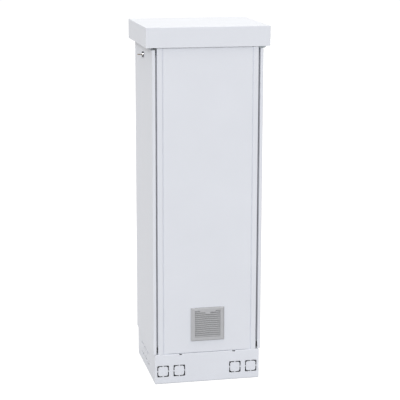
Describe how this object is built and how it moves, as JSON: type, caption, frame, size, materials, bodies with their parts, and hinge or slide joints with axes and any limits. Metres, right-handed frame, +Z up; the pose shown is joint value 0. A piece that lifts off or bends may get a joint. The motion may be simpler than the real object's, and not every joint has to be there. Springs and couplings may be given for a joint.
{
  "type": "floor-standing rack cabinet",
  "caption": "Outdoor floor-standing rack cabinet with an overhanging roof hood, lockable lift-off side covers, a louvred filter inlet and a plinth with cable knock-outs.",
  "frame": {"origin": "on the floor in the middle of the plinth", "axes": "+Z up, -Y towards the front with the filter, X across it towards the lift-off covers"},
  "size_m": [0.73, 0.624, 2.135],
  "materials": {
    "powder_coat": "fine-textured powder coat",
    "seal_rubber": "matt",
    "seal_foam": "grey foamed gasket",
    "black_steel": "satin black",
    "lock_chrome": "polished",
    "lock_steel": "satin",
    "zinc_steel": "galvanised",
    "key_brass": "worn",
    "filter_plastic": "moulded",
    "filter_fleece": "fibre mat"
  },
  "bodies": {
    "cabinet": {"base_rail_front": "powder_coat", "base_rail_left": "powder_coat", "base_rail_rear": "powder_coat", "base_rail_right": "powder_coat", "cable_grommets": "seal_rubber", "cover_pivots_left": "black_steel", "cover_pivots_right": "black_steel", "cover_seal_left": "seal_foam", "cover_seal_right": "seal_foam", "eave_left": "zinc_steel", "eave_right": "zinc_steel", "filter_housing": "filter_plastic", "filter_mat": "filter_fleece", "floor_plate": "zinc_steel", "front_panel": "powder_coat", "gland_plate": "zinc_steel", "plinth_brackets": "zinc_steel", "plinth_front": "powder_coat", "plinth_left": "powder_coat", "plinth_rear": "powder_coat", "plinth_right": "powder_coat", "post_front_left": "powder_coat", "post_front_right": "powder_coat", "post_rear_left": "powder_coat", "post_rear_right": "powder_coat", "rack_rail_front": "zinc_steel", "rack_rail_rear": "zinc_steel", "rear_panel": "powder_coat", "roof_bearer_left": "zinc_steel", "roof_bearer_right": "zinc_steel", "roof_hood": "powder_coat", "roof_pan": "zinc_steel", "strut_high_front": "zinc_steel", "strut_high_rear": "zinc_steel", "strut_low_front": "zinc_steel", "strut_low_rear": "zinc_steel", "strut_middle_front": "zinc_steel", "strut_middle_rear": "zinc_steel", "top_rail_front": "powder_coat", "top_rail_left": "powder_coat", "top_rail_rear": "powder_coat", "top_rail_right": "powder_coat"},
    "cover_left": {"cover_left": "powder_coat", "cover_hooks_left": "black_steel", "lock_body_left": "lock_chrome", "lock_gasket_left": "seal_rubber", "lock_nut_left": "zinc_steel"},
    "lock_left": {"lock_plug_left": "lock_steel", "lock_cam_left": "zinc_steel", "key": "key_brass"},
    "cover_right": {"cover_right": "powder_coat", "cover_hooks_right": "black_steel", "lock_body_right": "lock_chrome", "lock_gasket_right": "seal_rubber", "lock_nut_right": "zinc_steel"},
    "lock_right": {"lock_plug_right": "lock_steel", "lock_cam_right": "zinc_steel"},
    "louvre": {"louvre_cover": "filter_plastic"}
  },
  "joints": [
    {"name": "cover_left_tilt", "type": "hinge", "parent": "cabinet", "child": "cover_left", "pos_m": [-0.306, 0, 0.2], "axis": [0, -1, 0], "range_deg": [0, 12]},
    {"name": "lock_left_turn", "type": "hinge", "parent": "cover_left", "child": "lock_left", "pos_m": [-0.328, 0, 1.95], "axis": [1, 0, 0], "range_deg": [0, 90]},
    {"name": "cover_right_tilt", "type": "hinge", "parent": "cabinet", "child": "cover_right", "pos_m": [0.306, 0, 0.2], "axis": [0, 1, 0], "range_deg": [0, 12]},
    {"name": "lock_right_turn", "type": "hinge", "parent": "cover_right", "child": "lock_right", "pos_m": [0.328, 0, 1.95], "axis": [1, 0, 0], "range_deg": [0, 90]},
    {"name": "louvre_open", "type": "hinge", "parent": "cabinet", "child": "louvre", "pos_m": [0, -0.3045, 0.2649], "axis": [1, 0, 0], "range_deg": [0, 75]}
  ]
}
